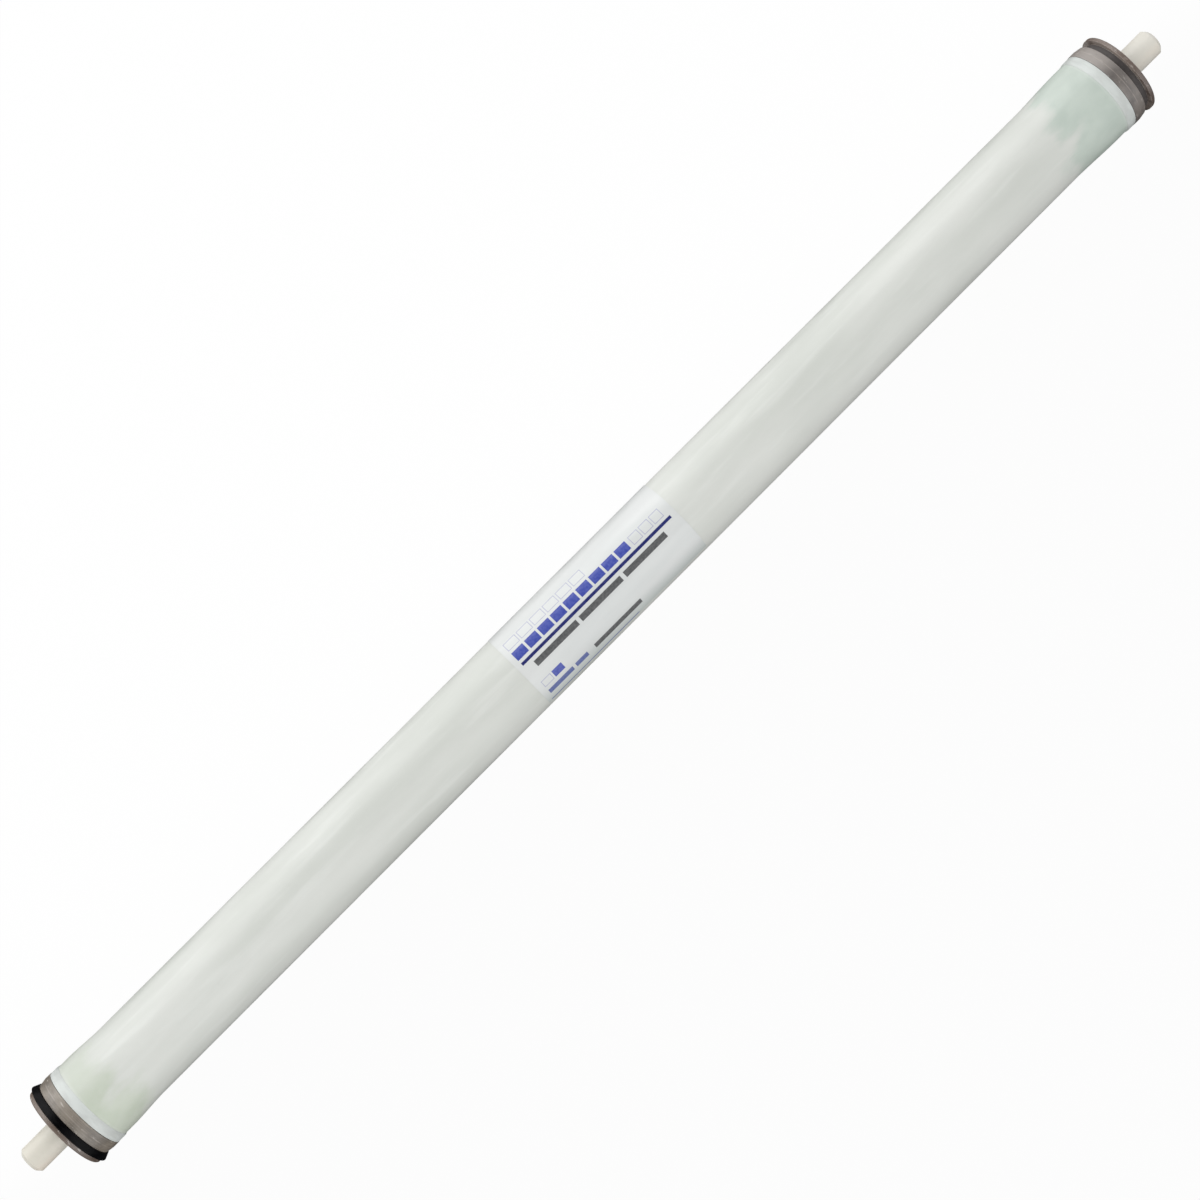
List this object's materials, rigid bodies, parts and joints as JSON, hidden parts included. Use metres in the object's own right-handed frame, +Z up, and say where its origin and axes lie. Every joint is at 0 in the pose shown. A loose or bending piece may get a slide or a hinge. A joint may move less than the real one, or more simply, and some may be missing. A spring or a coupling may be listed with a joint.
{
  "type": "reverse osmosis membrane element",
  "caption": "Long slim round filter element with a wound body, spoked end caps, a black lip seal at one end and a plain tube stub at both ends.",
  "frame": {"origin": "on the element's axis, half way between the two tube tips, which is the centre of the box round it", "axes": "+X along the axis towards the tail end, with the empty seal groove; -X is the feed end with the lip seal; +Z up, with the label over the top and the +Y side"},
  "size_m": [1.016, 0.0646, 0.0645],
  "materials": {
    "tube_plastic": "warm white extruded plastic, satin",
    "carrier_fabric": "white warp-knitted polyester",
    "membrane_sheet": "thin cast membrane on a non-woven backing",
    "spacer_net": "extruded polypropylene net",
    "wrap_film": "pale green-white wound film, satin",
    "cap_plastic": "taupe moulded plastic with scuffs round the rim",
    "seal_rubber": "black moulded rubber",
    "white_tape": "white vinyl tape, smooth",
    "label_stock": "white label with plain printed bars"
  },
  "bodies": {
    "root": {"permeate_tube": "tube_plastic", "core_carrier": "carrier_fabric", "permeate_carrier_1": "carrier_fabric", "permeate_carrier_2": "carrier_fabric", "permeate_carrier_3": "carrier_fabric", "membrane_leaf_1": "membrane_sheet", "membrane_leaf_2": "membrane_sheet", "membrane_leaf_3": "membrane_sheet", "feed_spacer_1": "spacer_net", "feed_spacer_2": "spacer_net", "feed_spacer_3": "spacer_net", "outer_wrap": "wrap_film", "feed_end_cap": "cap_plastic", "tail_end_cap": "cap_plastic", "brine_seal": "seal_rubber", "feed_end_tape": "white_tape", "tail_end_tape": "white_tape", "product_label": "label_stock"}
  },
  "joints": []
}
